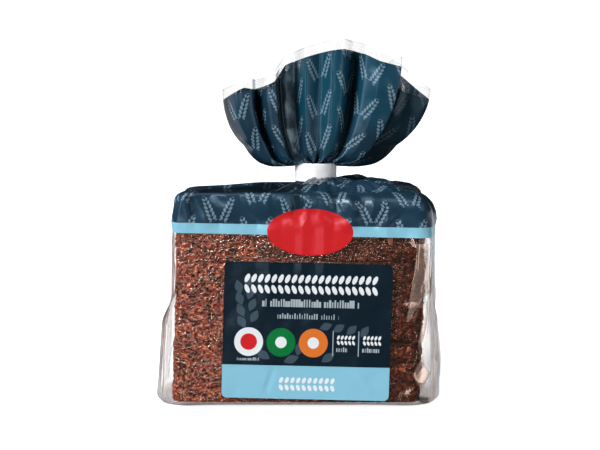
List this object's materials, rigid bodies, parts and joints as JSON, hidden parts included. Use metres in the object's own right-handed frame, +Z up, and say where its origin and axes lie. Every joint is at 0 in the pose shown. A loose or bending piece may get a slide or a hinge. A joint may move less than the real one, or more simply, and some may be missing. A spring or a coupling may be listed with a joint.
{
  "type": "bagged sliced black bread",
  "caption": "Block of sliced dark rye bread in a clear film bag with a printed top and label, its neck held by white tape under an open ruffle.",
  "frame": {"origin": "on the ground under the middle of the bag's bounding box", "axes": "+Z up from the base to the ruffle, -Y out of the printed front, +X to the right as the front is seen"},
  "size_m": [0.1194, 0.0722, 0.1489],
  "materials": {
    "printed_film": "glossy thin film, navy and light blue print on clear film with dark brown bread behind it",
    "white_tape": "smooth white, slightly glossy"
  },
  "bodies": {
    "root": {"bag": "printed_film", "neck_tape": "white_tape"}
  },
  "joints": []
}
